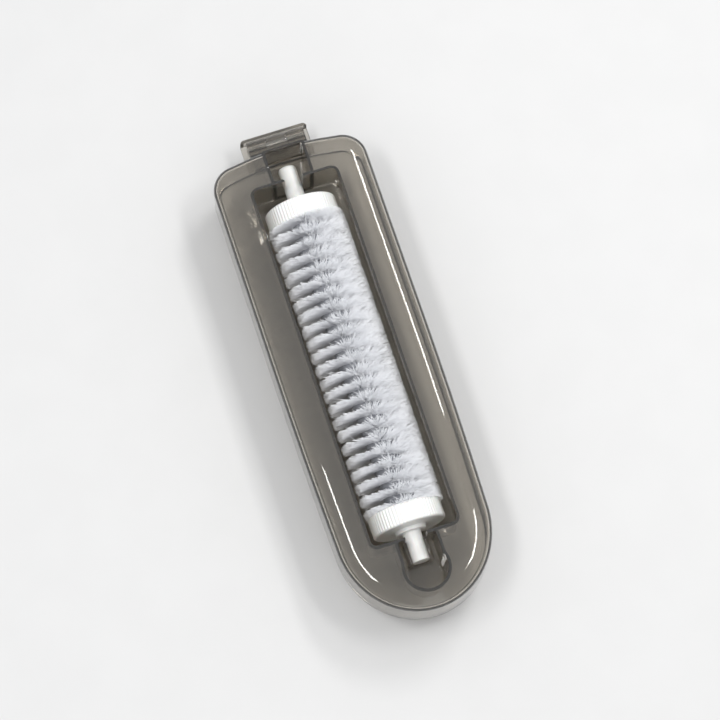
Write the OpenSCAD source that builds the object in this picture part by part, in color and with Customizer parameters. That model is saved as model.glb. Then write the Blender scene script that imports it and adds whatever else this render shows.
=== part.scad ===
// Handheld carpet sweeper: one roller brush in a two-piece housing that opens on a hinge.
// Millimetres. X runs across the body, +Y points to the hinged end, Z is up.
// It lies on the back shell's flat crown with the brush face up; the origin is under its middle.

/* [Housing] */
// Width across the body
body_w = 55; // [44:1:70]
// Length over the round end and the hinge cradle
body_l = 180; // [150:1:220]
// Height of the flat face above the crown it rests on
face_h = 30; // [26:0.5:38]
// Height of the parting line between shell and cover
part_h = 13.5; // [12:0.5:16]
// Wall thickness of both housing halves
wall = 1.2; // [1:0.1:2]
// Gap left along the parting line
seam = 0.35; // [0.3:0.05:0.6]
// Corner radius at the hinged end
corner_r = 9; // [6:0.5:14]

/* [Brush opening] */
// Width of the opening in the face
open_w = 29.7; // [24:0.1:34]
// Distance from the round end's tip to the opening
open_near = 25.5; // [24:0.5:34]
// Distance from the hinge cradle's tip to the opening
open_far = 24.5; // [22:0.5:30]
// Depth of the opening's side walls below the face
side_wall_d = 9; // [6:0.5:11]
// Width of the two bearing troughs
trough_w = 13.2; // [11:0.1:15]
// Radius of the finger well at the face
well_r = 7.3; // [6:0.1:9]

/* [Brush] */
// Radius over the bristle tips
bristle_r = 13.5; // [12:0.1:14.2]
// Height the bristles stand out of the face
proud = 2; // [1:0.1:3]
// Radius of the end discs
disc_r = 12.6; // [10:0.1:13.4]
// Width of each end disc's rim
disc_w = 7.1; // [4:0.1:9]
// Radius of the spindle's stub axles
stub_r = 3.15; // [2.5:0.05:4]
// Radius of the spindle between the discs
core_r = 4.5; // [3.5:0.1:6]
// Axial distance between turns of the bristle strip
pitch = 4.7; // [3.5:0.1:7]

/* [Hinge] */
// Radius of the hinge knuckle
knuckle_r = 3; // [2.6:0.1:4]
// Length of the hinge knuckle
knuckle_l = 20.8; // [14:0.1:26]
// Radius of the hinge pin
pin_r = 1; // [0.8:0.05:1.4]
// Distance from the cradle's tip to the pin
pin_in = 4.5; // [4.3:0.1:6]

/* [Hidden] */
$fn = 64;
run = 0.05;                 // radial clearance of everything that turns
gap = 0.35;                 // clearance of parts that pass each other
press = 0.02;               // radial interference of pressed parts
hw = body_w / 2;
y_tip = body_l / 2;
y_near = -body_l / 2;
y_flat = y_tip - 11;        // outside of the hinged end wall
nose_l = 28.7;              // length of the rounded nose
nose_w = hw - 1.1;          // half width where the nose starts
yo0 = y_near + open_near;
yo1 = y_tip - open_far;
axis_z = face_h + proud - bristle_r;
end_t = 1.0;                // thickness of the opening's end walls
floor_z = axis_z - stub_r - 0.25;
floor_t = 1.4;
well_y = y_near + 14;
hinge_y = y_tip - pin_in;
hinge_z = part_h;
cradle_z = hinge_z - knuckle_r - gap;
cradle_w = knuckle_l + 3.6; // the cradle shows 1.8 mm beyond the knuckles
cradle_t = 1.3;
mid_l = knuckle_l / 3;      // length of the shell's middle knuckle
stub_far = yo1 + 8.3;
stub_near = yo0 - 7.4;
disc_far = yo1 - 6.4;       // outer face of the far disc
disc_near = yo0 + 4.3;      // outer face of the near disc
collar_w = 1.3;
clip_t = 1.4;               // thickness of the near axle's clip

// ---- smooth rings: one closed outline of the body, drawn in by dx at the sides,
// ---- by df at the hinged end and by dn at the nose
function side_x(y, dx) = let (t = min(1, max(0, (y - y_near - nose_l) / 66)))
    nose_w - dx + (hw - nose_w) * t * (2 - t);
function half_ring(dx, df, dn) = let (
        r = max(1.5, corner_r - max(dx, df)),
        yf = y_flat - df,
        xr = hw - dx - r,
        sag = xr * xr / 200,
        yc = yf - sag - r,
        y0 = y_near + nose_l)
    concat(
        [for (i = [0:13]) let (a = -90 + 90 * i / 14)
            [(nose_w - dx) * cos(a), y0 + (nose_l - dn) * sin(a)]],
        [for (i = [0:5]) let (y = y0 + (yc - y0) * i / 6) [side_x(y, dx), y]],
        [for (i = [0:5]) let (a = 78 * i / 5) [xr + r * cos(a), yc + r * sin(a) / sin(78) * 0.98]],
        [for (i = [1:4]) let (x = xr * (1 - i / 4)) [x, yf - x * x / 200]]);
function ring(dx, df, dn, z) = let (h = half_ring(dx, df, dn), n = len(h))
    concat([for (p = h) [p[0], p[1], z]],
           [for (i = [n - 2:-1:1]) [-h[i][0], h[i][1], z]]);
module stack(rings) {
    n = len(rings[0]);
    m = len(rings);
    polyhedron(
        points = [for (r = rings) for (p = r) p],
        faces = concat(
            [[for (i = [0:n - 1]) i]],
            [[for (i = [n - 1:-1:0]) (m - 1) * n + i]],
            [for (k = [0:m - 2]) for (i = [0:n - 1]) [k * n + i, (k + 1) * n + i, k * n + (i + 1) % n]],
            [for (k = [0:m - 2]) for (i = [0:n - 1])
                [k * n + (i + 1) % n, (k + 1) * n + i, (k + 1) * n + (i + 1) % n]]));
}

// profile rows: [dx, df, dn, height]
shell_out = [[15.5, 15, 21, 0], [12.6, 11.2, 16.4, 0.02 * part_h], [9.2, 7.8, 11.8, 0.1 * part_h],
    [6, 4.9, 7.8, 0.23 * part_h], [3.2, 2.5, 4.2, 0.4 * part_h], [1.3, 1, 1.7, 0.6 * part_h],
    [0.3, 0.25, 0.4, 0.8 * part_h], [0, 0, 0, part_h - seam]];
shell_in = [[16.6, 16.1, 22.1, wall], [10.8, 9.4, 13.4, wall + 0.1 * part_h],
    [7.6, 6.5, 9.4, wall + 0.23 * part_h], [4.8, 4.1, 5.8, wall + 0.4 * part_h],
    [2.9, 2.6, 3.3, wall + 0.6 * part_h], [wall, wall, wall, part_h - seam + 0.5]];
cover_out = [[0, 0, 0, part_h], [0.05, 0.05, 0.05, face_h - 4.4], [0.35, 0.35, 0.35, face_h - 3.2],
    [1, 1, 1, face_h - 2.25], [2, 2, 2, face_h - 1.5], [4.6, 4.6, 4.6, face_h - 0.35],
    [5.8, 5.8, 5.8, face_h]];
cover_in = [[wall, wall, wall, part_h - 0.5], [wall + 0.1, wall + 0.1, wall + 0.1, face_h - 4.4 - wall / 2],
    [2.8, 2.8, 2.8, face_h - 1.7 - wall], [5.8, 5.8, 5.8, face_h - wall]];
function rings(rows) = [for (r = rows) ring(r[0], r[1], r[2], r[3])];

module round_rect(w, l, r, h) {
    translate([0, 0, 0]) linear_extrude(height = h) union() {
        square([w - 2 * r, l], center = true);
        square([w, l - 2 * r], center = true);
        for (sx = [-1, 1]) for (sy = [-1, 1])
            translate([sx * (w / 2 - r), sy * (l / 2 - r)]) circle(r = r);
    }
}
module along_x(y, z, r, l) translate([-l / 2, y, z]) rotate([0, 90, 0]) cylinder(r = r, h = l);
module along_y(y0, y1, z, r) translate([0, y0, z]) rotate([-90, 0, 0]) cylinder(r = r, h = y1 - y0);
module block(x0, x1, y0, y1, z0, z1) translate([x0, y0, z0]) cube([x1 - x0, y1 - y0, z1 - z0]);

module back_shell() color([0.45, 0.43, 0.4, 0.6]) {
    difference() {
        union() {
            difference() {
                stack(rings(shell_out));
                stack(rings(shell_in));
            }
            // hinge cradle: floor, outer lip and the middle knuckle on its post
            intersection() {
                union() {
                    block(-hw, hw, y_flat - wall / 2, y_tip, cradle_z - cradle_t, cradle_z);
                    block(-hw, hw, y_tip - 1.15, y_tip, cradle_z - 1, hinge_z + 0.4);
                }
                translate([0, y_tip - 8, 0]) round_rect(cradle_w, 16, 1.6, face_h);
            }
            along_x(hinge_y, hinge_z, knuckle_r, mid_l);
            block(-mid_l / 2, mid_l / 2, hinge_y - knuckle_r, hinge_y + knuckle_r - 0.6, cradle_z - 1, hinge_z);
        }
        along_x(hinge_y, hinge_z, pin_r - press, mid_l + 2);
    }
}

// a springy clip round the near stub axle, open at the top and rooted in the trough's floor
module snap_bearing() difference() {
    union() {
        along_y(stub_near - 0.3, yo0 - end_t / 2, axis_z, stub_r + run + clip_t);
        block(-stub_r - run - clip_t, stub_r + run + clip_t, stub_near - 0.3, yo0 - end_t / 2,
              floor_z - floor_t / 2, axis_z - stub_r / 2);
    }
    along_y(stub_near - 1, yo0, axis_z, stub_r + run);
    block(-hw, hw, stub_near - 1, yo0, 0, floor_z - floor_t / 2);
    block(-hw, hw, stub_near - 1, yo0, axis_z + 2.3, face_h);
    block(-stub_r + 0.35, stub_r - 0.35, stub_near - 1, yo0, axis_z, axis_z + 4);
}

module face_cover() color([0.5, 0.48, 0.45, 0.55]) {
    tw = trough_w / 2;
    difference() {
        union() {
            difference() {
                stack(rings(cover_out));
                stack(rings(cover_in));
            }
            // walls that hang under the face: opening, troughs and finger well
            block(-open_w / 2 - end_t, open_w / 2 + end_t, yo0 - end_t, yo1 + end_t,
                  face_h - side_wall_d, face_h - wall / 2);
            for (y = [yo0 - end_t, yo1])
                block(-open_w / 2 - end_t, open_w / 2 + end_t, y, y + end_t, floor_z - floor_t, face_h - wall / 2);
            block(-tw - end_t, tw + end_t, yo1, y_flat - wall / 2, floor_z - floor_t, face_h - wall / 2);
            block(-tw - end_t, tw + end_t, well_y, yo0, floor_z - floor_t, face_h - wall / 2);
            translate([0, well_y, floor_z - floor_t])
                cylinder(r1 = well_r, r2 = well_r + end_t, h = face_h - wall / 2 - floor_z + floor_t);
        }
        // brush opening, through the face and between its end walls
        translate([0, (yo0 + yo1) / 2, face_h - side_wall_d - 8])
            round_rect(open_w, yo1 - yo0, 2, side_wall_d + 10);
        // troughs and finger well
        block(-tw, tw, yo1 + end_t, y_flat - wall, floor_z, face_h + 1);
        block(-tw, tw, well_y + 3, yo0 - end_t, floor_z, face_h + 1);
        translate([0, well_y, floor_z])
            cylinder(r1 = well_r - end_t, r2 = well_r, h = face_h - floor_z + 0.01);
        translate([0, well_y, face_h - 0.01]) cylinder(r = well_r, h = 1);
        // bearing notches in the end walls
        along_y(yo1 - 1, yo1 + end_t + 1, axis_z, stub_r + run);
        block(-stub_r - run, stub_r + run, yo1 - 1, yo1 + end_t + 1, axis_z, face_h + 1);
        along_y(yo0 - end_t - 1, yo0 + 1, axis_z, stub_r + run);
        block(-stub_r - 0.6, stub_r + 0.6, yo0 - end_t - 1, yo0 + 1, axis_z + 1.5, face_h + 1);
    }
    snap_bearing();
    // two outer knuckles on an arm that steps round the middle one
    difference() {
        union() {
            along_x(hinge_y, hinge_z, knuckle_r, knuckle_l);
            block(-knuckle_l / 2, knuckle_l / 2, y_flat - wall / 2, hinge_y, hinge_z + 0.02, hinge_z + knuckle_r);
        }
        along_x(hinge_y, hinge_z, pin_r + run, knuckle_l + 2);
        along_x(hinge_y, hinge_z, knuckle_r + gap, mid_l + 2 * gap);
    }
}

module hinge_pin() color([0.75, 0.75, 0.76]) along_x(hinge_y, hinge_z, pin_r, knuckle_l - 1);

// rim, web and hub of an end disc; the open side faces +Y
module disc() translate([0, 0, axis_z]) rotate([-90, 0, 0]) difference() {
    cylinder(r = disc_r, h = disc_w);
    translate([0, 0, 2]) difference() {
        cylinder(r = disc_r - 1.6, h = disc_w);
        cylinder(r = core_r + 1.5, h = disc_w);
    }
}

module spindle() color([0.95, 0.95, 0.94]) {
    along_y(disc_near + 3, disc_far - 1, axis_z, core_r);
    translate([0, disc_far, 0]) mirror([0, 1, 0]) disc();
    along_y(disc_far - 1, stub_far - 1, axis_z, stub_r);
    translate([0, stub_far - 1, axis_z]) rotate([-90, 0, 0])
        cylinder(r1 = stub_r, r2 = stub_r - 0.8, h = 1);
}

module end_cap() color([0.95, 0.95, 0.94]) difference() {
    union() {
        translate([0, disc_near, 0]) disc();
        along_y(disc_near - collar_w, disc_near + 1, axis_z, stub_r + 2.2);
        along_y(stub_near, disc_near, axis_z, stub_r);
    }
    along_y(disc_near + 3, disc_near + disc_w + 1, axis_z, core_r - press);
}

strip0 = disc_near + disc_w;
strip1 = disc_far - disc_w;
strip_r = core_r + 0.8;
module strip_base() color([0.85, 0.86, 0.88]) difference() {
    along_y(strip0, strip1, axis_z, strip_r);
    along_y(strip0 - 1, strip1 + 1, axis_z, core_r);
}

// the filaments' envelope: one swell for each turn of the strip
module bristles() color([0.9, 0.91, 0.94]) {
    turns = round((strip1 - strip0) / pitch);
    p = (strip1 - strip0) / turns;
    translate([0, strip0, axis_z]) rotate([-90, 0, 0]) rotate_extrude() polygon(concat(
        [[strip_r, 0], [bristle_r - 0.9, 0]],
        [for (i = [0:turns - 1]) for (q = [[0.9, 0.18], [0, 0.4], [0, 0.6], [0.9, 0.82]])
            [bristle_r - q[0], (i + q[1]) * p]],
        [[bristle_r - 0.9, turns * p], [strip_r, turns * p]]));
}

back_shell();
face_cover();
hinge_pin();
spindle();
end_cap();
strip_base();
bristles();
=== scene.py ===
# %% [markdown]
# # A handheld carpet sweeper
# A palm-sized sweeper has one roller brush in a housing of smoky, see-through plastic. It lies on its
# back here with the brush up. The CAD frame holds every size and joint, so the frame comes first, and each
# finished piece then takes the place of its plain CAD solid and rides on the same body.

# %% The frame and its box
import math

import bmesh
import bpy
import numpy as np
from mathutils import Matrix


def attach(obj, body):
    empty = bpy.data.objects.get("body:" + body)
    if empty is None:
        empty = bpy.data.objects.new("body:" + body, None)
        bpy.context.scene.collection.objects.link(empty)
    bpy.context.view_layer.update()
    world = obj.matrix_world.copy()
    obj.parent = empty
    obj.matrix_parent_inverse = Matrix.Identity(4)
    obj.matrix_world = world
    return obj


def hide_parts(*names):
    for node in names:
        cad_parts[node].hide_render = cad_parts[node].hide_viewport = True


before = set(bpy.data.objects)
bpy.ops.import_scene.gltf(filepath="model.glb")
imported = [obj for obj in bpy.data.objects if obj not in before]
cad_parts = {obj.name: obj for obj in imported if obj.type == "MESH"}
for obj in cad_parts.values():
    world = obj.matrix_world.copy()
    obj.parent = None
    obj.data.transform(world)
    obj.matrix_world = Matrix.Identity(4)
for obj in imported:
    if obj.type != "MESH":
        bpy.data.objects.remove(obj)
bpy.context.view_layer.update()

MM = 0.001
scene = bpy.context.scene

# %% [markdown]
# ## Sizes
# The housing, the brush and the hinge share one set of millimetre sizes with the CAD source. Repeating
# the sizes, and not finished coordinates, lets each surface be rebuilt as finely as a close look needs.

# %% Sizes of the housing
body_w, body_l = 55.0, 180.0
face_h, part_h = 30.0, 13.5
wall, seam, gap = 1.2, 0.35, 0.35
corner_r = 9.0
half_w, tip_y, near_y = body_w / 2, body_l / 2, -body_l / 2
flat_y = tip_y - 11
nose_l, nose_w = 28.7, half_w - 1.1
print("housing", body_w, "by", body_l, "mm, parting at", part_h)

# %% Sizes of the opening, the brush and the hinge
open_w, side_wall_d, end_t, trough_w = 29.7, 9.0, 1.0, 13.2
open_0, open_1 = near_y + 25.5, tip_y - 24.5
bristle_r, disc_r, disc_w, stub_r, core_r = 13.5, 12.6, 7.1, 3.15, 4.5
axis_z = face_h + 2 - bristle_r
floor_z, floor_t = axis_z - stub_r - 0.25, 1.4
well_y, well_r = near_y + 14, 7.3
stub_far, stub_near = open_1 + 8.3, open_0 - 7.4
disc_far, disc_near, collar_w = open_1 - 6.4, open_0 + 4.3, 1.3
knuckle_r, knuckle_l, pin_r = 3.0, 20.8, 1.0
hinge_y, hinge_z = tip_y - 4.5, part_h
cradle_z, cradle_t, cradle_w = hinge_z - knuckle_r - gap, 1.3, knuckle_l + 3.6
mid_l, run = knuckle_l / 3, 0.05
print("brush axis at", axis_z, "mm, opening", open_1 - open_0, "mm long")

# %% [markdown]
# ## Camera
# The sweeper is seen from above, a little from its round end and from its left. A long lens nearly a metre
# away keeps the sides of the housing almost parallel. The last turn is a roll about the line of sight.

# %% Camera
def look_at(target, azimuth, elevation, roll, distance, lens):
    a, e, k = (math.radians(v) for v in (azimuth, elevation, roll))
    away = np.array([math.sin(a) * math.cos(e), -math.cos(a) * math.cos(e), math.sin(e)])
    level = np.cross(-away, [0, 0, 1])
    level /= np.linalg.norm(level)
    rise = np.cross(level, -away)
    right, up = math.cos(k) * level + math.sin(k) * rise, math.cos(k) * rise - math.sin(k) * level
    pose = np.eye(4)
    pose[:3, 0], pose[:3, 1], pose[:3, 2] = right, up, away
    pose[:3, 3] = (np.array(target) + away * distance) * MM
    camera = bpy.data.objects.new("camera", bpy.data.cameras.new("camera"))
    camera.data.sensor_width, camera.data.lens = 36, lens
    camera.data.clip_start, camera.data.clip_end = 0.01, 20
    camera.matrix_world = Matrix(pose.tolist())
    scene.collection.objects.link(camera)
    return camera

scene.camera = look_at((2.37, 0.10, 20), -22.09, 73.96, 3.91, 900, 133.0)
print("camera at", [round(v, 3) for v in scene.camera.location])

# %% [markdown]
# ## Floor and light
# A pale floor stands for the bright card under the sweeper. See-through plastic shows its shape by what it
# mirrors, so a large soft light beyond the round end is joined by three long narrow ones that draw bright
# lines along the creases of the face.

# %% Light helper
def soft_light(name, toward, distance, size, power, colour=(1, 1, 1), aim=(0, 0, 20)):
    """An area light that sits in one direction from the sweeper and faces it. Sizes in millimetres."""
    away = np.array(toward, float)
    away /= np.linalg.norm(away)
    light = bpy.data.lights.new(name, "AREA")
    light.shape, light.size, light.size_y = "RECTANGLE", size[0] * MM, size[1] * MM
    light.energy, light.color = power, colour
    holder = bpy.data.objects.new(name, light)
    side = np.cross([0, 1, 0], away)
    side /= np.linalg.norm(side)
    pose = np.eye(4)
    pose[:3, 0], pose[:3, 1], pose[:3, 2] = side, np.cross(away, side), away
    pose[:3, 3] = (np.array(aim) + away * distance) * MM
    holder.matrix_world = Matrix(pose.tolist())
    scene.collection.objects.link(holder)

# %% Lights
soft_light("key_right", (0.46, 0.34, 0.82), 800, (90, 260), 1.5)
soft_light("nose_right", (0.38, -0.05, 0.92), 800, (90, 240), 1.2)
soft_light("nose_left", (-0.33, 0.0, 0.94), 800, (100, 280), 1.5)
soft_light("round_end_soft", (-0.2, -1.3, 1), 1200, (900, 900), 1.8)

world = bpy.data.worlds.new("pale room")
scene.world = world
world.use_nodes = True
background = world.node_tree.nodes["Background"]
background.inputs["Color"].default_value = (0.97, 0.98, 1.0, 1)
background.inputs["Strength"].default_value = 0.72
scene.view_settings.view_transform = "Standard"
scene.cycles.diffuse_bounces = 12

# %% [markdown]
# ## Shader maths
# A finish here is a sum of small effects. Wrapping a node's socket in a class makes `haze + scuff` add its
# own Math node, so a finish reads as a formula and not as a list of wires.

# %% Shader maths
class Field:
    """One output socket of a node, with arithmetic."""
    def __init__(self, socket):
        self.socket, self.tree = socket, socket.id_data

    @staticmethod
    def node(tree, kind, settings=None, inputs=None, out=0):
        made = tree.nodes.new(kind)
        for key, value in (settings or {}).items():
            setattr(made, key, value)
        for key, value in (inputs or {}).items():
            if isinstance(value, Field):
                tree.links.new(value.socket, made.inputs[key])
            else:
                made.inputs[key].default_value = value
        return Field(made.outputs[out])

    def __add__(self, other):
        return Field.node(self.tree, "ShaderNodeMath", {"operation": "ADD"}, {0: self, 1: other})

    def between(self, low, high, to_low=0.0, to_high=1.0):
        return Field.node(self.tree, "ShaderNodeMapRange", {"interpolation_type": "SMOOTHSTEP"},
                          {0: self, 1: low, 2: high, 3: to_low, 4: to_high})

# %% Finish helpers
def place(tree, stretch=(1, 1, 1)):
    """Object position in millimetres, stretched along its axes."""
    here = Field.node(tree, "ShaderNodeTexCoord", out="Object")
    return Field.node(tree, "ShaderNodeMapping", {}, {"Vector": here, "Scale": [1000 * s for s in stretch]})

def noise(tree, scale, detail=2.0, rough=0.5, stretch=(1, 1, 1)):
    """Noise whose grain is about 1/scale millimetres."""
    return Field.node(tree, "ShaderNodeTexNoise", {},
                      {"Vector": place(tree, stretch), "Scale": scale, "Detail": detail, "Roughness": rough})

def tint(tree, factor, low, high):
    return Field.node(tree, "ShaderNodeMix", {"data_type": "RGBA"},
                      {0: factor, 6: (*low, 1), 7: (*high, 1)}, out=2)

def bump(tree, height, depth_mm):
    return Field.node(tree, "ShaderNodeBump", {},
                      {"Height": height, "Strength": 1.0, "Distance": depth_mm * MM})

def finish_of(name, constants, varied):
    """A Principled material: constants are set on the shader's own sockets, varied(tree) gives its fields."""
    made = bpy.data.materials.new(name)
    made.use_nodes = True
    tree = made.node_tree
    shader = tree.nodes["Principled BSDF"]
    for key, value in constants.items():
        shader.inputs[key].default_value = value
    for key, field in varied(tree).items():
        tree.links.new(field.socket, shader.inputs[key])
    return made

print("shader helpers ready")

# %% [markdown]
# ## Floor
# The floor is a plain pale sheet. A very weak noise keeps it from looking like a printed flat tone. It lies a
# hair below the flat crown, because two faces in exactly one plane would flicker.

# %% Floor
def floor_fields(tree):
    speck = noise(tree, 0.05, 3)
    return {"Base Color": tint(tree, speck.between(0.3, 0.7),
                               (0.685, 0.682, 0.675), (0.695, 0.692, 0.685))}

floor_finish = finish_of("pale floor", {"Roughness": 0.7, "Specular IOR Level": 0.2}, floor_fields)
floor_mesh = bpy.data.meshes.new("floor")
floor_drop, floor_half = 0.2 * MM, 4
corner_signs = ((-1, -1), (1, -1), (1, 1), (-1, 1))
floor_mesh.from_pydata([(x * floor_half, y * floor_half, -floor_drop) for x, y in corner_signs],
                       [], [(0, 1, 2, 3)])
floor_mesh.materials.append(floor_finish)
floor = bpy.data.objects.new("floor", floor_mesh)
scene.collection.objects.link(floor)
print("floor laid")

# %% [markdown]
# ## Smoky plastic
# The housing is clear plastic with a grey-brown dye. A thin wall looked through is pale and the same wall
# seen along its edge is nearly black, which paint on a surface can't do. A glass-like surface around a dye
# that swallows light by the millimetre gives both, so the walls need to be closed, real solids.

# %% Smoky plastic
def smoky_fields(tree):
    haze = noise(tree, 0.08, 3)
    scuff = noise(tree, 1.6, 4, 0.7, (1, 0.15, 1))
    fine = haze.between(0.35, 0.75, 0.015, 0.05) + scuff.between(0.62, 0.80, 0.0, 0.06)
    wave = noise(tree, 0.035, 1)
    return {"Roughness": fine, "Normal": bump(tree, wave, 0.12),
            "Base Color": tint(tree, haze, (0.90, 0.875, 0.83), (0.92, 0.895, 0.85))}

smoky_gloss = {"Transmission Weight": 0.965, "IOR": 1.46, "Coat Weight": 0.4, "Coat Roughness": 0.02}
dye_colour, dye_density = (0.17, 0.11, 0.0), 236.0

def smoky_plastic(name):
    made = finish_of(name, smoky_gloss, smoky_fields)
    tree = made.node_tree
    dye = Field.node(tree, "ShaderNodeVolumeAbsorption", {},
                     {"Color": (*dye_colour, 1), "Density": dye_density})
    tree.links.new(dye.socket, tree.nodes["Material Output"].inputs["Volume"])
    return made

smoky_cover = smoky_plastic("smoky cover plastic")
smoky_shell = smoky_plastic("smoky shell plastic")
print("smoky plastic ready")

# %% [markdown]
# ## Making meshes
# Every piece is a stack of closed outlines joined by strips of faces. Stacking and then cutting one solid
# out of another is how the moulds are made too, so the walls keep an even thickness. The work is done in
# millimetres and scaled once at the end.

# %% Mesh helpers
def solid(name, points, faces):
    mesh = bpy.data.meshes.new(name)
    mesh.from_pydata([tuple(p) for p in points], [], [tuple(f) for f in faces])
    mesh.update()
    made = bpy.data.objects.new(name, mesh)
    scene.collection.objects.link(made)
    return made

def stack(name, rings, caps=(True, True)):
    """Joins outlines of the same length into one closed solid. Rings are (n, 3) arrays."""
    n, m = len(rings[0]), len(rings)
    points = np.concatenate(rings)
    i = np.arange(n)
    j = (i + 1) % n
    faces = [q for k in range(m - 1)
             for q in zip(k * n + i, k * n + j, (k + 1) * n + j, (k + 1) * n + i)]
    if caps[0]:
        faces.append(tuple(i[::-1]))
    if caps[1]:
        faces.append(tuple((m - 1) * n + i))
    made = solid(name, points, faces)
    work = bmesh.new()
    work.from_mesh(made.data)
    bmesh.ops.recalc_face_normals(work, faces=work.faces)
    work.to_mesh(made.data)
    work.free()
    return made

def band(name, rings):
    """Like stack, but the last outline joins the first, which gives a closed hoop."""
    n, m = len(rings[0]), len(rings)
    i = np.arange(n)
    j = (i + 1) % n
    faces = [q for k in range(m)
             for q in zip(k * n + i, k * n + j, (k + 1) % m * n + j, (k + 1) % m * n + i)]
    return solid(name, np.concatenate(rings), faces)

def lifted(outline, z):
    return np.column_stack([outline, np.full(len(outline), float(z))])

def smooth_rows(rows, per_step):
    """A smooth curve through rows of numbers, by cubic pieces."""
    rows = np.array(rows, float)
    padded = np.vstack([2 * rows[0] - rows[1], rows, 2 * rows[-1] - rows[-2]])
    out = []
    for k in range(1, len(padded) - 2):
        a, b, c, d = padded[k - 1:k + 3]
        for t in np.arange(per_step) / per_step:
            out.append(0.5 * (2 * b + (c - a) * t + (2 * a - 5 * b + 4 * c - d) * t**2
                              + (3 * b - a - 3 * c + d) * t**3))
    return np.array(out + [rows[-1]])

# %% Joining and cutting
def combine(target, others, operation):
    for other in others:
        work = target.modifiers.new("work", "BOOLEAN")
        work.operation, work.solver, work.object = operation, "EXACT", other
        bpy.context.view_layer.update()
        shape = bpy.data.meshes.new_from_object(target.evaluated_get(bpy.context.evaluated_depsgraph_get()))
        target.modifiers.clear()
        old, target.data = target.data, shape
        bpy.data.meshes.remove(old)
        bpy.data.objects.remove(other)
    return target

def cut(target, *others):
    return combine(target, others, "DIFFERENCE")

def join(target, *others):
    return combine(target, others, "UNION")

# %% Simple solids
def box_solid(x0, x1, y0, y1, z0, z1):
    outline = np.array([[x0, y0], [x1, y0], [x1, y1], [x0, y1]])
    return stack("block", [lifted(outline, z0), lifted(outline, z1)])

def arc(cx, cy, r, start, stop, n):
    a = np.radians(np.linspace(start, stop, n))
    return np.column_stack([cx + r * np.cos(a), cy + r * np.sin(a)])

def rounded(x0, x1, y0, y1, r, n=8):
    """A rectangle with round corners, anticlockwise."""
    return np.vstack([arc(x1 - r, y0 + r, r, -90, 0, n), arc(x1 - r, y1 - r, r, 0, 90, n),
                      arc(x0 + r, y1 - r, r, 90, 180, n), arc(x0 + r, y0 + r, r, 180, 270, n)])

def rod(axis, start, stop, centre, radius, n=64):
    """A round bar along x or y. centre is (y, z) or (x, z)."""
    ring = arc(0, 0, 1, 0, 360 * (1 - 1 / n), n)
    rings = []
    for at, r in ((start, radius), (stop, radius)) if np.isscalar(radius) else radius:
        u, v = centre[0] + ring[:, 0] * r, centre[1] + ring[:, 1] * r
        along = np.full(n, float(at))
        rings.append(np.column_stack([along, u, v] if axis == "x" else [u, along, v]))
    return stack("rod", rings)

print("mesh helpers ready")

# %% [markdown]
# ## Outline of the housing
# Seen from above the housing is a long tongue: a round nose, sides that bow out by a millimetre, and a
# flat hinged end with round corners. Every wall uses this one outline, drawn in by a different amount at
# the sides, the hinged end and the nose.

# %% Outline
bow_l = 66          # length over which the sides bow out
end_bow_r = 100     # radius of the slight bow of the hinged end
corner_turn = 78    # degrees of arc in each round corner of the hinged end
corner_squash = 0.98

def side_x(y, inset):
    t = np.clip((y - near_y - nose_l) / bow_l, 0, 1)
    return nose_w - inset + (half_w - nose_w) * t * (2 - t)

def outline(side, far, near):
    r = max(1.5, corner_r - max(side, far))
    end_y, corner_x = flat_y - far, half_w - side - r
    sag = corner_x**2 / (2 * end_bow_r)
    corner_y, nose_y = end_y - sag - r, near_y + nose_l
    a = np.radians(np.linspace(-90, 0, 28, endpoint=False))
    nose = np.column_stack([(nose_w - side) * np.cos(a), nose_y + (nose_l - near) * np.sin(a)])
    y = np.linspace(nose_y, corner_y, 20, endpoint=False)
    flank = np.column_stack([side_x(y, side), y])
    b = np.linspace(0, corner_turn, 14)
    stretch = math.sin(math.radians(corner_turn))
    corner = np.column_stack([corner_x + r * np.cos(np.radians(b)),
                              corner_y + r * np.sin(np.radians(b)) / stretch * corner_squash])
    x = corner_x * (1 - np.arange(1, 9) / 8)
    end = np.column_stack([x, end_y - x**2 / (2 * end_bow_r)])
    right = np.vstack([nose, flank, corner, end])
    left = right[1:-1][::-1] * [-1, 1]
    return np.vstack([right, left])

def rings_of(rows):
    return [lifted(outline(*row[:3]), row[3]) for row in rows]

print("outline of", len(outline(0, 0, 0)), "points")

# %% [markdown]
# ## Cover
# The cover carries the brush. Its face is flat, then tips down at a crease a few millimetres inside the
# edge, rolls over the edge and drops down the side. The crease and the edge are real arcs, since they are
# what draws the bright lines.

# %% Profile of the cover
edge_r, crease_r = 2.6, 6.5
tip = math.radians(19)             # slope of the rim beyond the crease
crease_in, slope_in = 6.4, 1.9     # how far inside the edge the slope begins and ends
crease_out = crease_in - crease_r * math.sin(tip)
slope_top = face_h - crease_r * (1 - math.cos(tip))
slope_foot = slope_top - (crease_out - slope_in) * math.tan(tip)
edge_at = (slope_in + edge_r * math.sin(tip), slope_foot - edge_r * math.cos(tip))

def cover_rows(depth):
    """(inset, height) up the cover's side and over its edge, for a skin this far below the outside."""
    r = edge_r - depth
    rows = [(depth, part_h), (depth + 0.05, (part_h + edge_at[1]) / 2)]
    rows += [(edge_at[0] - r * math.cos(a), edge_at[1] + r * math.sin(a))
             for a in np.linspace(0, math.pi / 2 - tip, 10)]
    r = crease_r - depth
    rows += [(crease_in - r * math.sin(a), face_h - crease_r + r * math.cos(a))
             for a in np.linspace(tip, 0, 11)]
    return [(x, x, x, z) for x, z in rows]

print("edge of the face drops", round(face_h - edge_at[1], 2), "mm before the side")

# %% Cover skin
cover = stack("face_cover_skin", rings_of(cover_rows(wall)[::-1]) + rings_of(cover_rows(0)))
print("cover skin", len(cover.data.polygons), "faces")

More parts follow.
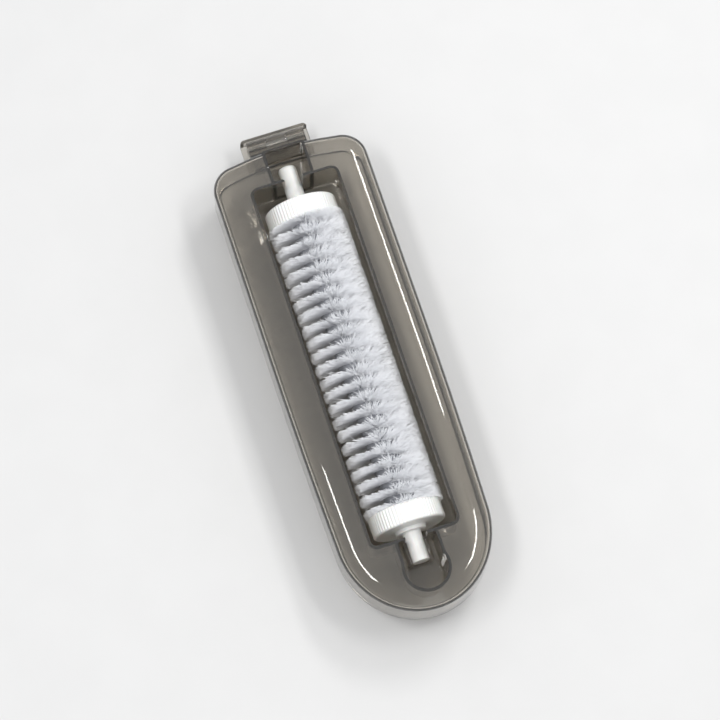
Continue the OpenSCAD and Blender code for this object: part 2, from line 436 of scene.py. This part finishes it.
# %% [markdown]
# ## Opening, troughs and finger well
# The brush drops into a long opening. Walls hang under the face around it, a trough at each end holds a
# stub axle, and the trough at the round end runs into a cup for a fingertip. Each pocket is cut with a
# tool whose top flares out in a quarter circle, so the lip of the pocket is softly rounded.

# %% Pocket tools
lip_r = 0.28
open_r, trough_r, foot_r = 2.0, 0.8, 0.7     # corners seen from above, and round the pockets' floors

def pocket_levels(bottom, top, floor_r=0.0):
    """(growth, height) of a cutting tool: a rounded floor, straight sides and a flared lip."""
    rows = [(floor_r * (math.cos(a) - 1), bottom + floor_r * (1 - math.sin(a)))
            for a in np.linspace(math.pi / 2, 0, 6)] if floor_r else [(0, bottom)]
    rows += [(lip_r * (1 - math.cos(a)), top - lip_r + lip_r * math.sin(a))
             for a in np.radians([0, 16, 32, 48, 64, 80])]
    return rows + [(lip_r + 0.3, top + 0.5)]

def pocket(x0, x1, y0, y1, r, bottom, floor_r=0.0):
    return stack("pocket", [lifted(rounded(x0 - g, x1 + g, y0 - g, y1 + g, r + g), z)
                            for g, z in pocket_levels(bottom, face_h, floor_r)])

def round_pocket(x, y, r_low, r_high, bottom, floor_r=0.0):
    """A round pocket that widens evenly from its floor to the face."""
    ring = arc(0, 0, 1, 0, 360 * (1 - 1 / 72), 72)
    rings = []
    for g, z in pocket_levels(bottom, face_h, floor_r):
        share = min(1, (z - bottom) / (face_h - bottom))
        rings.append(lifted(ring * (g + r_low + (r_high - r_low) * share) + [x, y], z))
    return stack("round pocket", rings)

# %% Walls under the face
under, wall_foot = face_h - wall / 2, floor_z - floor_t
wall_x, trough_x = open_w / 2, trough_w / 2
frame_x, frame_0, frame_1 = wall_x + end_t, open_0 - end_t, open_1 + end_t
frame_r = open_r + end_t
end_wall_reach = 2.4     # how far the end walls stand into the opening before it is cut

def hanging(x0, x1, y0, y1, r, bottom):
    return stack("wall", [lifted(rounded(x0 + i, x1 - i, y0 + i, y1 - i, r - i), z)
                          for i, z in ((0.3, bottom), (0.0, bottom + 0.3), (0.0, under))])

def end_wall(outer, inner):
    """A wall across one end of the opening, with its outer corners rounded."""
    way = math.copysign(1, outer - inner)
    corner = arc(frame_x - frame_r, 0, frame_r, 0, 90, 10) * [1, way] + [0, outer - way * frame_r]
    right = np.vstack([[frame_x, inner], corner])
    ring = np.vstack([right, right[::-1] * [-1, 1]])
    middle = np.array([0, (outer + inner) / 2])
    return stack("end wall", [lifted(middle + (ring - middle) * [0.98, 0.9], wall_foot),
                              lifted(ring, wall_foot + 0.25), lifted(ring, under)])

def well_wall():
    ring = arc(0, 0, 1, 0, 355, 72)
    return stack("well", [lifted(ring * r + [0, well_y], z) for r, z in (
        (well_r - 0.4, wall_foot), (well_r, wall_foot + 0.4), (well_r + end_t, under))])

walls = [hanging(-frame_x, frame_x, frame_0, frame_1, frame_r, face_h - side_wall_d),
         end_wall(frame_0, open_0 + end_wall_reach), end_wall(frame_1, open_1 - end_wall_reach)]
for y0, y1 in ((open_1 + 0.7, flat_y - wall / 2), (well_y, open_0 - 0.7)):
    walls.append(hanging(-trough_x - end_t, trough_x + end_t, y0, y1, 1.0, wall_foot))
walls.append(well_wall())
join(cover, *walls)
print("cover with walls", len(cover.data.polygons), "faces")

# %% Opening, troughs, well and notches
cut(cover, pocket(-wall_x, wall_x, open_0, open_1, open_r, wall_foot - 1))
cut(cover, pocket(-trough_x, trough_x, frame_1, flat_y - wall, trough_r, floor_z, foot_r))
cut(cover, pocket(-trough_x, trough_x, well_y + 2, frame_0, trough_r, floor_z, foot_r))
cut(cover, round_pocket(0, well_y, well_r - end_t, well_r, floor_z, foot_r))

def notch(y0, y1, r, half, from_z):
    """A U through an end wall: a round seat and straight sides that open upward with a rounded lip."""
    seat = rod("y", y0, y1, (0, axis_z), r + run)
    return join(seat, pocket(-half, half, y0, y1, 0.05, from_z))

cut(cover, notch(open_1 - 1, open_1 + end_t + 1, stub_r, stub_r + run, axis_z))
cut(cover, notch(open_0 - end_t - 1, open_0 + 1, stub_r, stub_r + 0.6, axis_z + 1.5))
print("cover with pockets", len(cover.data.polygons), "faces")

# %% Clip of the near stub axle
clip_t = 1.4

def axle_clip():
    """A springy clip, open at the top: two arms with round tips that grip the stub axle."""
    y0, y1, seat_r = stub_near - 0.3, open_0 - end_t / 2, stub_r + run
    outer_r, foot = seat_r + clip_t, floor_z - floor_t / 2
    low, arm_rise = -math.asin(stub_r / 2 / outer_r), 1.5
    tip_at = math.degrees(math.asin(arm_rise / (seat_r + clip_t / 2)))
    tip_turn = math.radians(tip_at)
    outside = [(outer_r * math.cos(a), outer_r * math.sin(a)) for a in np.linspace(low, tip_turn, 8)]
    tip_centre = (seat_r + clip_t / 2) * np.array([math.cos(tip_turn), math.sin(tip_turn)])
    round_tip = [tuple(tip_centre + clip_t / 2 * np.array([math.cos(a), math.sin(a)]))
                 for a in np.radians(np.linspace(tip_at + 20, tip_at + 160, 9))]
    inside = [(seat_r * math.cos(a), seat_r * math.sin(a))
              for a in np.linspace(-math.pi / 2, tip_turn, 20)[::-1]]
    half = np.array([(outer_r, foot - axis_z), (outer_r, -stub_r / 2)] + outside[1:] + round_tip + inside)
    section = np.vstack([half, half[::-1][1:] * [-1, 1]])
    def at(y, squeeze):
        centre = np.array([0, -1.0])
        s = centre + (section - centre) * squeeze
        return np.column_stack([s[:, 0], np.full(len(s), y), s[:, 1] + axis_z])
    return stack("clip", [at(y0, 0.97), at(y0 + 0.12, 0.99), at(y0 + 0.4, 1), at(y1, 1)])

join(cover, axle_clip())
print("cover with clip", len(cover.data.polygons), "faces")

# %% [markdown]
# ## Hinge
# The two halves open like a box at the flat end. Two knuckles on the cover sit either side of one on the
# shell, and a steel pin runs through all three. They lie in a little tray that sticks out of the shell.

# %% Knuckles on the cover
def turned_x(x0, x1, r, y, z, edge=0.35):
    """A knuckle: a short round bar along x with rounded rims."""
    rows = [(x0, r - edge), (x0 + 0.1, r - 0.1), (x0 + edge, r),
            (x1 - edge, r), (x1 - 0.1, r - 0.1), (x1, r - edge)]
    return rod("x", 0, 0, (y, z), rows, 48)

arm_x = knuckle_l / 2 - 0.15
arm = box_solid(-arm_x, arm_x, flat_y - wall / 2, hinge_y, hinge_z + 0.02, hinge_z + knuckle_r)
hinge = join(turned_x(-knuckle_l / 2, knuckle_l / 2, knuckle_r, hinge_y, hinge_z), arm)
cut(hinge, rod("x", -mid_l / 2 - gap, mid_l / 2 + gap, (hinge_y, hinge_z), knuckle_r + gap, 48))
cut(hinge, rod("x", -knuckle_l, knuckle_l, (hinge_y, hinge_z), pin_r + run, 40))
join(cover, hinge)
print("cover with hinge", len(cover.data.polygons), "faces")

# %% [markdown]
# ## Shell
# The other half is a shallow dish that fits the palm. Its wall turns under in one long curve to a small
# flat crown. A smooth curve through a few measured rows gives that bulge without any straight facets.

# %% Shell skin
dish = smooth_rows([(15.5, 15, 21, 0), (12.6, 11.2, 16.4, 0.02 * part_h), (9.2, 7.8, 11.8, 0.1 * part_h),
                    (6, 4.9, 7.8, 0.23 * part_h), (3.2, 2.5, 4.2, 0.4 * part_h), (1.3, 1, 1.7, 0.6 * part_h),
                    (0.3, 0.25, 0.4, 0.8 * part_h), (0, 0, 0, part_h - seam)], 4)
dish_inside = smooth_rows([(16.6, 16.1, 22.1, wall), (10.8, 9.4, 13.4, wall + 0.1 * part_h),
                           (7.6, 6.5, 9.4, wall + 0.23 * part_h), (4.8, 4.1, 5.8, wall + 0.4 * part_h),
                           (2.9, 2.6, 3.3, wall + 0.6 * part_h), (wall, wall, wall, part_h - seam)], 4)
dish[:, 3] = np.maximum(dish[:, 3], 0)
shell = stack("back_shell_skin", rings_of(dish_inside) + rings_of(dish[::-1]))
print("shell skin", len(shell.data.polygons), "faces")

# %% Hinge tray and middle knuckle
def cradle():
    """A shallow tray with round corners: a floor, and a lip at its outer edge."""
    back = flat_y - wall / 2
    def slab(z0, z1, y0, edge):
        rows = [(edge, z0), (edge * 0.3, z0 + edge * 0.3), (0, z0 + edge),
                (0, z1 - edge), (edge * 0.3, z1 - edge * 0.3), (edge, z1)]
        return stack("slab", [lifted(rounded(-cradle_w / 2 + i, cradle_w / 2 - i, y0, tip_y - i, 1.6 - i), z)
                              for i, z in rows])
    tray = slab(cradle_z - cradle_t, hinge_z + 0.4, back - 3, 0.3)
    lip_t, hollow_x = 1.15, cradle_w / 2 + 2
    levels = ((0.5, cradle_z), (0.15, cradle_z + 0.15), (0, cradle_z + 0.5), (0, hinge_z + 2))
    cut(tray, stack("hollow", [lifted(rounded(-hollow_x, hollow_x, back - 5, tip_y - lip_t - g, 0.5), z)
                               for g, z in levels]))
    return cut(tray, box_solid(-half_w, half_w, back - 10, back, 0, face_h))

middle = turned_x(-mid_l / 2, mid_l / 2, knuckle_r, hinge_y, hinge_z)
post = box_solid(-mid_l / 2 + 0.1, mid_l / 2 - 0.1, hinge_y - knuckle_r + 0.05, hinge_y + knuckle_r - 0.6,
                 cradle_z - 0.8, hinge_z)
join(shell, cradle(), join(middle, post))
cut(shell, rod("x", -mid_l, mid_l, (hinge_y, hinge_z), pin_r - 0.02, 40))
print("shell with hinge", len(shell.data.polygons), "faces")

# %% [markdown]
# ## Finishing a piece
# A finished piece is scaled to metres, shaded smooth except over its sharp edges, and given normals
# weighted by face area, so a large flat face stays flat right up to the small rounding beside it. Cutting
# can leave two points a hair apart, so such points are merged first.

# %% Finishing
merge_within = 0.0005     # millimetres

def finished(piece, name, finish, body, node, sharp=38, weighted=True):
    piece.name = piece.data.name = name
    mesh = piece.data
    if weighted:
        work = bmesh.new()
        work.from_mesh(mesh)
        bmesh.ops.remove_doubles(work, verts=work.verts, dist=merge_within)
        work.to_mesh(mesh)
        work.free()
    mesh.transform(Matrix.Diagonal((MM, MM, MM, 1)))
    mesh.materials.clear()
    mesh.materials.append(finish)
    mesh.shade_smooth()
    mesh.set_sharp_from_angle(angle=math.radians(sharp))
    if weighted:
        piece.modifiers.new("even shading", "WEIGHTED_NORMAL").keep_sharp = True
    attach(piece, body)
    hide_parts(*([node] if isinstance(node, str) else node))
    work = bmesh.new()
    work.from_mesh(mesh)
    open_edges = sum(1 for e in work.edges if not e.is_manifold)
    work.free()
    print(name, len(mesh.vertices), "points,", open_edges, "open edges")
    return piece

finished(cover, "face_cover_moulding", smoky_cover, "cover", "face_cover")
finished(shell, "back_shell_moulding", smoky_shell, "back", "back_shell")

# %% [markdown]
# ## Hinge pin
# The pin is a short steel wire, cut and slightly chamfered at its ends. Drawn wire has fine lines along
# its length, which stretch its highlights.

# %% Hinge pin
def steel_fields(tree):
    drawn = noise(tree, 6.0, 3, 0.6, (0.03, 1, 1))
    return {"Base Color": tint(tree, drawn, (0.52, 0.53, 0.55), (0.66, 0.67, 0.69)),
            "Roughness": drawn.between(0.3, 0.7, 0.22, 0.38),
            "Normal": bump(tree, drawn, 0.01)}

pin_steel = finish_of("drawn steel", {"Metallic": 1.0}, steel_fields)
pin = turned_x(-knuckle_l / 2 + 0.5, knuckle_l / 2 - 0.5, pin_r, hinge_y, hinge_z, 0.15)
finished(pin, "hinge_pin_wire", pin_steel, "back", "hinge_pin")

# %% [markdown]
# ## White mouldings of the brush
# The brush turns on a moulded spindle with a ribbed disc at one end, and a second ribbed disc is pressed on
# at the other. Both are turned shapes, so a profile is swung round the axis. The ribs are the same sweep
# with a radius that dips a little at each rib.

# %% White plastic
def white_fields(tree):
    cloud = noise(tree, 0.25, 3)
    grain = noise(tree, 9.0, 3, 0.6)
    return {"Base Color": tint(tree, cloud, (0.79, 0.79, 0.765), (0.86, 0.86, 0.845)),
            "Roughness": grain.between(0.3, 0.7, 0.34, 0.46),
            "Normal": bump(tree, grain, 0.012)}

white_gloss = {"Subsurface Weight": 0.1, "Subsurface Scale": 0.0015,
               "Coat Weight": 0.15, "Coat Roughness": 0.25}
white_moulding = finish_of("white moulding", white_gloss, white_fields)
white_cap = finish_of("white cap", white_gloss, white_fields)

# %% Turned shapes with ribs
ribs, rib_depth, around = 66, 0.22, 66 * 6

def swung(name, profile):
    """Swings (y, radius, rib share) rows round the brush axis. The ends are closed."""
    turn = np.radians(np.arange(around) * 360 / around)
    dip = (0.5 - 0.5 * np.cos(turn * ribs)) ** 1.5
    rings = []
    for y, r, share in profile:
        radius = r - rib_depth * share * dip
        rings.append(np.column_stack([radius * np.sin(turn), np.full(around, y),
                                      axis_z + radius * np.cos(turn)]))
    return stack(name, rings)

def disc_profile(outer_y, inward):
    """(y, radius, rib share) rows from the disc's face over its ribbed rim and back into its hollow."""
    rows = [(0, disc_r - 1.1, 0), (0.04, disc_r - 0.75, 0), (0.15, disc_r - 0.45, 0.1),
            (0.35, disc_r - 0.2, 0.4), (0.6, disc_r - 0.04, 0.85), (0.85, disc_r, 1),
            (disc_w - 0.7, disc_r, 1), (disc_w - 0.3, disc_r - 0.12, 0.8), (disc_w, disc_r - 0.5, 0.2),
            (disc_w, disc_r - 1.6, 0), (2.3, disc_r - 1.7, 0), (2, disc_r - 2.0, 0),
            (2, core_r + 1.7, 0), (2.2, core_r + 1.5, 0)]
    return [(outer_y + inward * depth, radius, share) for depth, radius, share in rows]

# %% Spindle with the far disc
dome_l, dome_w = 1.0, 0.8
spindle_rows = [(stub_far - dome_l + dome_l * math.sin(a), stub_r - dome_w + dome_w * math.cos(a), 0)
                for a in np.radians([80, 60, 40, 20, 0])]
spindle_rows += [(disc_far + 0.3, stub_r, 0), (disc_far + 0.08, stub_r + 0.08, 0),
                 (disc_far, stub_r + 0.3, 0)]
spindle_rows += disc_profile(disc_far, -1)
spindle_rows += [(disc_far - disc_w, core_r + 1.5, 0), (disc_far - disc_w, core_r, 0),
                 (disc_near + 3.3, core_r, 0), (disc_near + 3, core_r - 0.3, 0)]
spindle = swung("spindle_moulding", spindle_rows)
finished(spindle, "spindle_moulding", white_moulding, "brush", "spindle", 30)

# %% Pressed cap with the near disc
collar_r = stub_r + 2.2
cap_rows = [(stub_near, stub_r - 0.35, 0), (stub_near + 0.1, stub_r - 0.1, 0), (stub_near + 0.35, stub_r, 0),
            (disc_near - collar_w - 0.25, stub_r, 0), (disc_near - collar_w, stub_r + 0.25, 0),
            (disc_near - collar_w, collar_r - 0.3, 0), (disc_near - collar_w + 0.1, collar_r - 0.09, 0),
            (disc_near - collar_w + 0.3, collar_r, 0), (disc_near - 0.25, collar_r, 0),
            (disc_near, collar_r + 0.25, 0)]
cap_rows += disc_profile(disc_near, 1)
cap_rows += [(disc_near + disc_w, core_r + 1.5, 0), (disc_near + disc_w, core_r, 0),
             (disc_near + 3, core_r, 0)]
end_cap = swung("end_cap_moulding", cap_rows)
finished(end_cap, "end_cap_moulding", white_cap, "brush", "end_cap", 30)

# %% [markdown]
# ## Backing strip
# The filaments' roots are held in a narrow woven strip, which is wound round the core like a screw thread.
# The strip is modelled as that thread, so its turns show between the rows of filaments.

# %% Backing strip
strip_0, strip_1 = disc_near + disc_w, disc_far - disc_w
strip_spacing = 4.7
turns = round((strip_1 - strip_0) / strip_spacing)
pitch = (strip_1 - strip_0) / turns
strip_r = core_r + 0.8
groove_share, groove_depth = 0.09, 0.45

def strip_fields(tree):
    thread = Field.node(tree, "ShaderNodeTexWave", {"bands_direction": "Y"},
                        {"Vector": place(tree), "Scale": 1.2, "Distortion": 1.5})
    return {"Base Color": tint(tree, thread, (0.30, 0.31, 0.34), (0.42, 0.43, 0.46)),
            "Roughness": thread.between(0.2, 0.8, 0.45, 0.65), "Normal": bump(tree, thread, 0.03)}

strip_backing = finish_of("strip backing", {}, strip_fields)

def wound_strip():
    """A tube whose outside rises and falls with the turns: flat bands with a groove between them."""
    steps, sides = turns * 16, 96
    y = np.linspace(strip_0 + 0.02, strip_1 - 0.02, steps + 1)
    turn = np.radians(np.arange(sides) * 360 / sides)
    phase = ((y[:, None] - strip_0) / pitch + turn[None, :] / (2 * np.pi)) % 1
    groove = np.clip(1 - np.abs(phase - 0.5) / groove_share, 0, 1)
    out_r = strip_r - groove_depth * (3 * groove**2 - 2 * groove**3)
    def at(yy, r):
        return np.column_stack([r * np.sin(turn), np.full(sides, yy), axis_z + r * np.cos(turn)])
    inner = [at(yy, np.full(sides, core_r + 0.02)) for yy in (strip_1 - 0.02, strip_0 + 0.02)]
    return band("strip", [at(yy, r) for yy, r in zip(y, out_r)] + inner)

finished(wound_strip(), "wound_strip", strip_backing, "brush", "strip_base", 30)

# %% [markdown]
# ## Filaments
# The roller's coat is thousands of fine nylon filaments. Hair particles would need baking and leave no mesh
# behind, so each filament is built as a thin three-sided rod that tapers and bends. They stand in the
# wound strip and fan out from it, and neighbours lean the same way in tufts and clumps. One side is felted:
# its filaments splay widely and close the gaps between turns. On the other side the gaps stay open, and the
# filaments there are painted darker towards their roots, a painted shade deep in the gaps.

# %% Filament places
random = np.random.default_rng(7)
filament_count = 39000
past_ends = 0.45                          # turns by which the winding runs on past the discs
clumps_per_turn, clumps_across = 94, 3
tip_overhang, root_margin = 0.6, 0.15     # how far filaments may reach over a disc, or must stay off it
path_shares = (0.0, 0.38, 0.72, 1.0)      # places along a filament, from root to tip
path_radii = (0.085, 0.085, 0.078, 0.045)
painted_root_shade_kept = (1.0, 0.75, 0.3, 0.0)        # share of a filament's tone and painted shade kept at each place, full at the root and none at the white tip

def tuft_noise(y, turn, scale, seed):
    """A smooth random lean shared by neighbours: a few sine waves of different directions."""
    waves = np.random.default_rng(seed)
    total = np.zeros_like(y)
    for _ in range(7):
        k, m, p = waves.normal(0, 1 / scale), waves.integers(-9, 10), waves.uniform(0, 2 * np.pi)
        total += np.sin(k * y + m * turn + p)
    return total / 3

along = random.uniform(-past_ends, turns + past_ends, filament_count)
turn = -2 * np.pi * along
across = random.uniform(-1, 1, filament_count)
root_y = np.clip(strip_0 + along * pitch + across * 0.75, strip_0 + 0.2, strip_1 - 0.2)
print("filaments", filament_count, "in", turns, "turns")

# %% Filament paths
def filament_paths():
    matted = np.clip((np.sin(turn) + 0.34) / 0.22, 0, 1)
    flank = np.clip((-np.sin(turn) - 0.45) / 0.45, 0, 1)
    spread = 0.72 + 0.55 * flank + 1.75 * matted
    clump = np.floor((along + 1) * clumps_per_turn).astype(int) * clumps_across
    clump += np.floor((across + 1) * (clumps_across / 2)).astype(int)
    clump_lean, clump_comb, clump_length = random.normal(0, 1, (3, clump.max() + 1))[:, clump]
    lean = across * (spread - 0.75) + (0.08 + 0.16 * matted) * tuft_noise(root_y, turn, 1.4, 3)
    lean += (0.14 + 0.12 * matted) * clump_lean + random.normal(0, 0.08 + 0.24 * matted)
    comb = 0.06 * tuft_noise(root_y, turn, 2.0, 5) + 0.022 * clump_comb
    comb += random.normal(0, 0.012 + 0.05 * matted)
    length = bristle_r + 0.55 * matted - np.abs(0.35 * clump_length)
    length -= np.abs(random.normal(0, 0.2, filament_count))
    stray = random.random(filament_count) < 0.02
    lean[stray] += random.normal(0, 0.9, stray.sum())
    comb[stray] += random.normal(0, 0.12, stray.sum())
    curl_y = random.normal(0, 0.10 + 0.22 * matted)
    curl_t = random.normal(0, 0.01 + 0.02 * matted)
    paths = []
    for share in path_shares:
        r = strip_r - 0.1 + (length - strip_r + 0.1) * share
        over = tip_overhang if share == 1 else -root_margin
        y = np.clip(root_y + lean * share**1.4 + curl_y * share**5, strip_0 - over, strip_1 + over)
        t = turn + comb * share**1.6 + curl_t * share**5
        paths.append(np.column_stack([r * np.sin(t), y, axis_z + r * np.cos(t)]))
    return np.stack(paths, 1)

paths = filament_paths()
print("longest reach", round(float(np.hypot(paths[:, -1, 0], paths[:, -1, 2] - axis_z).max()), 2), "mm")

# %% Filament meshes
def filament_mesh(name, paths, shade):
    """Three-sided rods along the paths, closed at both ends, with one tone per filament and painted shade
    that is full at the root and fades to white at the tip.
    """
    count, steps = paths.shape[:2]
    tangent = np.gradient(paths, axis=1)
    tangent /= np.linalg.norm(tangent, axis=2, keepdims=True)
    side = np.cross(tangent, [0.0, 1.0, 0.0])
    side /= np.linalg.norm(side, axis=2, keepdims=True)
    lift = np.cross(tangent, side)
    thick = np.array(path_radii)[None, :, None]
    corners = []
    for a in np.radians([90, 210, 330]):
        corners.append(paths + thick * (math.cos(a) * side + math.sin(a) * lift))
    points = np.stack(corners, 2).reshape(-1, 3)
    base = np.arange(count)[:, None, None, None] * steps * 3
    step = np.arange(steps - 1)[None, :, None, None] * 3
    i = np.arange(3)[None, None, :, None]
    j = (i + 1) % 3
    ring = base + step
    quads = np.concatenate([ring + i, ring + j, ring + 3 + j, ring + 3 + i], 3).reshape(-1, 4)
    roots = (np.arange(count) * steps * 3)[:, None] + np.array([[2, 1, 0]])
    tips = (np.arange(count) * steps * 3 + (steps - 1) * 3)[:, None] + np.array([[0, 1, 2]])
    mesh = bpy.data.meshes.new(name)
    loops = np.concatenate([quads.ravel(), roots.ravel(), tips.ravel()]).astype(np.int32)
    sizes = np.concatenate([np.full(len(quads), 4), np.full(2 * count, 3)])
    mesh.vertices.add(len(points))
    mesh.vertices.foreach_set("co", points.astype(np.float32).ravel())
    mesh.loops.add(len(loops))
    mesh.loops.foreach_set("vertex_index", loops)
    mesh.polygons.add(len(sizes))
    mesh.polygons.foreach_set("loop_start", np.concatenate([[0], np.cumsum(sizes)[:-1]]).astype(np.int32))
    mesh.update(calc_edges=True)
    tone_and_painted_shade_layer = mesh.attributes.new("shade", "FLOAT", "POINT")
    # Painted shade: each filament's tone and painted shade are full at its root and fade to white at its tip,
    # standing in for the shade deeper in the coat.
    grown = (1 - np.outer(1 - shade, painted_root_shade_kept))[:, :, None] * np.ones(3)
    tone_and_painted_shade_layer.data.foreach_set("value", grown.ravel().astype(np.float32))
    made = bpy.data.objects.new(name, mesh)
    scene.collection.objects.link(made)
    return made

# %% Nylon finish
def nylon_fields(tree):
    shade = Field.node(tree, "ShaderNodeAttribute", {"attribute_name": "shade"}, out=2)
    # The shade attribute mixes each filament's own tone with painted shade: darker roots on the open side of
    # the brush, white tips.
    return {"Base Color": tint(tree, shade, (0.60, 0.60, 0.62), (0.985, 0.99, 1.0)),
            "Roughness": shade.between(0.0, 1.0, 0.30, 0.45)}

nylon = finish_of("nylon filament", {"Specular IOR Level": 0.5}, nylon_fields)
# Painted shade: filaments on the open, gapped side of the brush are darkened to as little as a third,
# standing in for the shade deep in the gaps between turns. The random spread round 0.95 is the filaments' own
# tone.
painted_shade_open_side = np.clip(1.15 + np.sin(turn), 0.35, 1)
tone_and_painted_shade = np.clip(random.normal(0.95, 0.05, filament_count) * painted_shade_open_side, 0, 1)
quarter = np.argsort(np.argsort(along)) * 4 // filament_count
for k in range(4):
    part = quarter == k
    coat = filament_mesh("bristle_coat_%d" % (k + 1), paths[part], tone_and_painted_shade[part])
    finished(coat, coat.name, nylon, "brush", "bristles", 60, weighted=False)
